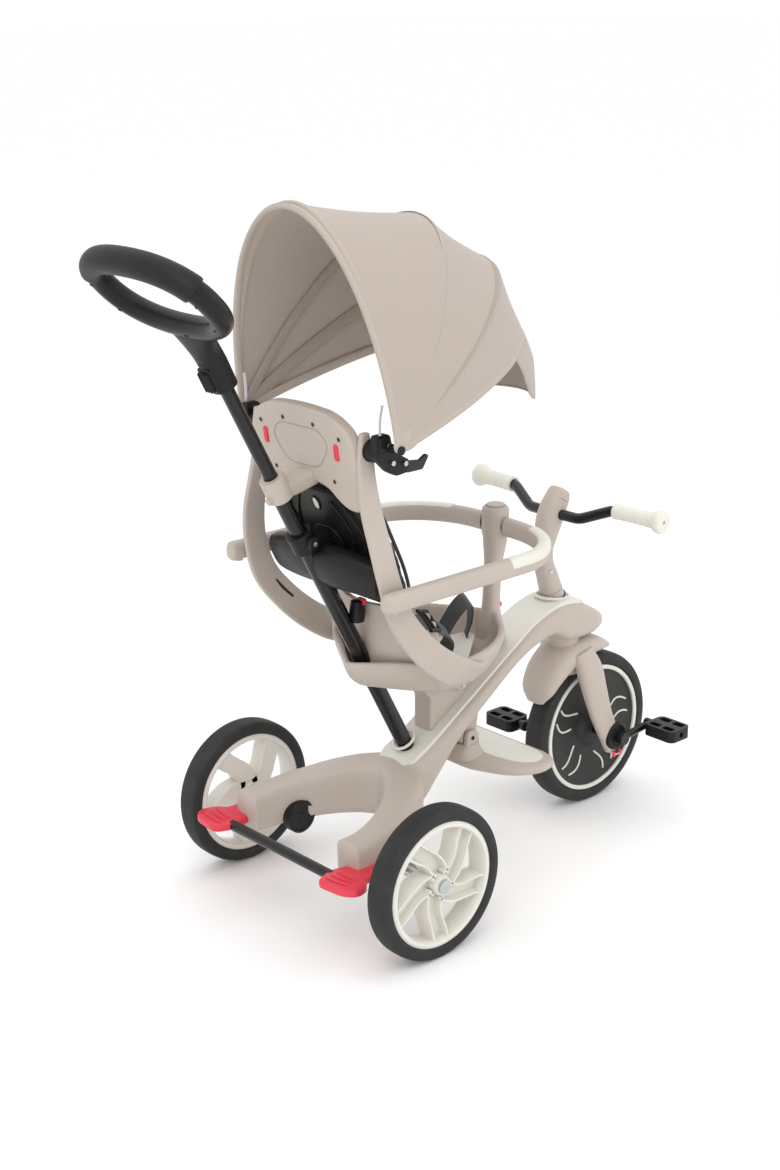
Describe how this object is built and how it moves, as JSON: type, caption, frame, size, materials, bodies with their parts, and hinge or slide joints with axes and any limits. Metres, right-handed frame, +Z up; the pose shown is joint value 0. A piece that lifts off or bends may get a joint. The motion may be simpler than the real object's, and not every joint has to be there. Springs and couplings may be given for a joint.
{
  "type": "children's tricycle",
  "caption": "Child's tricycle with a push handle on a slanted tube, a bucket seat inside a guard ring, a folding fabric canopy and pedals on the front wheel.",
  "frame": {"origin": "on the ground under the middle of the tricycle's overall length and width", "axes": "+X forward, towards the front wheel; +Y the rider's left; +Z up"},
  "size_m": [0.8949, 0.4192, 0.9158],
  "materials": {
    "beige_plastic": "satin",
    "cream_plastic": "satin",
    "black_plastic": "satin",
    "grey_plastic": "satin",
    "red_plastic": "gloss",
    "canopy_cloth": "woven",
    "black_fabric": "woven",
    "tube_paint": "gloss",
    "steel": "brushed",
    "soft_grip": "soft",
    "grip_rubber": "soft",
    "tyre_foam": "matt"
  },
  "bodies": {
    "frame": {"spine_shell": "beige_plastic", "top_cover": "cream_plastic", "rear_frame": "beige_plastic", "rear_axle_bolts": "steel", "axle_caps": "black_plastic", "footrest_lug": "beige_plastic", "head_bearings": "black_plastic", "lower_push_tube": "tube_paint", "tube_collar": "beige_plastic", "tube_clamp": "black_plastic", "seat_bucket": "beige_plastic", "seat_insert": "cream_plastic", "seat_bracket": "beige_plastic", "backrest_shell": "beige_plastic", "rear_panel": "black_plastic", "back_cushion": "black_fabric", "side_rails": "beige_plastic", "harness_straps": "black_fabric", "harness_buckle": "black_plastic", "guard_post": "beige_plastic", "guard_hinges": "beige_plastic", "canopy_brackets": "black_plastic", "canopy_hoop_rear": "tube_paint"},
    "steering": {"fork": "beige_plastic", "hub_covers": "black_plastic", "front_fender": "beige_plastic", "stem": "beige_plastic", "stem_cap": "beige_plastic", "handlebar": "tube_paint", "grips": "grip_rubber"},
    "front_wheel": {"front_tyre": "tyre_foam", "front_disc": "grey_plastic", "front_trim": "cream_plastic", "crankset": "black_plastic"},
    "pedal_left": {"pedal_left": "black_plastic"},
    "pedal_right": {"pedal_right": "black_plastic"},
    "rear_wheel_left": {"rear_tyre_left": "tyre_foam", "rear_rim_left": "cream_plastic"},
    "rear_wheel_right": {"rear_tyre_right": "tyre_foam", "rear_rim_right": "cream_plastic"},
    "brake": {"brake_bar": "tube_paint", "brake_pedals": "red_plastic"},
    "push_handle": {"upper_push_tube": "tube_paint", "handle_ring": "black_plastic", "handle_sleeve": "soft_grip"},
    "handle_button": {"handle_button": "black_plastic"},
    "canopy_second": {"canopy_hoop_second": "tube_paint", "canopy_gore_rear": "canopy_cloth"},
    "canopy_third": {"canopy_hoop_third": "tube_paint", "canopy_gore_middle": "canopy_cloth"},
    "canopy_front": {"canopy_hoop_front": "tube_paint", "canopy_gore_front": "canopy_cloth", "canopy_visor": "canopy_cloth"},
    "guard_left": {"guard_arm_left": "beige_plastic"},
    "guard_right": {"guard_arm_right": "beige_plastic"},
    "guard_button": {"guard_button": "red_plastic"},
    "footrest": {"footrest_board": "beige_plastic"},
    "seat_lever": {"seat_lever": "black_plastic"},
    "backrest_button_left": {"backrest_button_left": "red_plastic"},
    "backrest_button_right": {"backrest_button_right": "red_plastic"}
  },
  "joints": [
    {"name": "steering_turn", "type": "hinge", "parent": "frame", "child": "steering", "pos_m": [0.334, 0, 0.1134], "axis": [-0.3338, 0, 0.9426], "range_deg": [-35, 35]},
    {"name": "front_wheel_spin", "type": "hinge", "parent": "steering", "child": "front_wheel", "pos_m": [0.334, 0, 0.1134], "axis": [0, 1, 0], "continuous": true},
    {"name": "pedal_left_spin", "type": "hinge", "parent": "front_wheel", "child": "pedal_left", "pos_m": [0.27968, 0.108, 0.1048], "axis": [0, 1, 0], "continuous": true},
    {"name": "pedal_right_spin", "type": "hinge", "parent": "front_wheel", "child": "pedal_right", "pos_m": [0.38832, -0.108, 0.122], "axis": [0, 1, 0], "continuous": true},
    {"name": "rear_wheel_left_spin", "type": "hinge", "parent": "frame", "child": "rear_wheel_left", "pos_m": [-0.1525, 0.189, 0.1], "axis": [0, 1, 0], "continuous": true},
    {"name": "rear_wheel_right_spin", "type": "hinge", "parent": "frame", "child": "rear_wheel_right", "pos_m": [-0.1525, -0.189, 0.1], "axis": [0, 1, 0], "continuous": true},
    {"name": "brake_press", "type": "hinge", "parent": "frame", "child": "brake", "pos_m": [-0.1525, 0, 0.1], "axis": [0, 1, 0], "range_deg": [-12, 0]},
    {"name": "handle_height", "type": "slide", "parent": "frame", "child": "push_handle", "axis": [-0.4672, 0, 0.8842], "range_m": [-0.1, 0.04]},
    {"name": "handle_release", "type": "slide", "parent": "push_handle", "child": "handle_button", "axis": [0.8842, 0, 0.4672], "range_m": [0, 0.0025], "stiffness_N_per_m": 300},
    {"name": "canopy_fold", "type": "hinge", "parent": "frame", "child": "canopy_second", "pos_m": [-0.166, 0, 0.6434], "axis": [0, 1, 0], "range_deg": [-34, 0], "deforming": ["canopy_gore_rear"]},
    {"name": "canopy_fold_third", "type": "hinge", "parent": "canopy_second", "child": "canopy_third", "pos_m": [-0.166, 0, 0.6434], "axis": [0, 1, 0], "range_deg": [-16, 0], "deforming": ["canopy_gore_middle"]},
    {"name": "canopy_fold_front", "type": "hinge", "parent": "canopy_third", "child": "canopy_front", "pos_m": [-0.166, 0, 0.6434], "axis": [0, 1, 0], "range_deg": [-11, 0], "deforming": ["canopy_gore_front"]},
    {"name": "guard_left_open", "type": "hinge", "parent": "frame", "child": "guard_left", "pos_m": [-0.1805, 0.148, 0.459], "axis": [0, 0, 1], "range_deg": [0, 85]},
    {"name": "guard_right_open", "type": "hinge", "parent": "frame", "child": "guard_right", "pos_m": [-0.1805, -0.148, 0.459], "axis": [0, 0, 1], "range_deg": [-85, 0]},
    {"name": "guard_release", "type": "slide", "parent": "frame", "child": "guard_button", "axis": [-1, 0, 0], "range_m": [0, 0.0025], "stiffness_N_per_m": 300},
    {"name": "footrest_fold", "type": "hinge", "parent": "frame", "child": "footrest", "pos_m": [0.0825, 0, 0.171], "axis": [0, 1, 0], "range_deg": [0, 75]},
    {"name": "seat_clamp_turn", "type": "hinge", "parent": "frame", "child": "seat_lever", "pos_m": [0.0255, 0, 0.268], "axis": [0, 1, 0], "range_deg": [0, 28]},
    {"name": "backrest_release_left", "type": "slide", "parent": "frame", "child": "backrest_button_left", "axis": [0.9888, 0, 0.1495], "range_m": [0, 0.0025], "stiffness_N_per_m": 300},
    {"name": "backrest_release_right", "type": "slide", "parent": "frame", "child": "backrest_button_right", "axis": [0.9888, 0, 0.1495], "range_m": [0, 0.0025], "stiffness_N_per_m": 300}
  ],
  "couplings": [
    {"joint": "canopy_fold_third", "follows": "canopy_fold", "ratio": 0.4705},
    {"joint": "canopy_fold_front", "follows": "canopy_fold", "ratio": 0.3235}
  ]
}
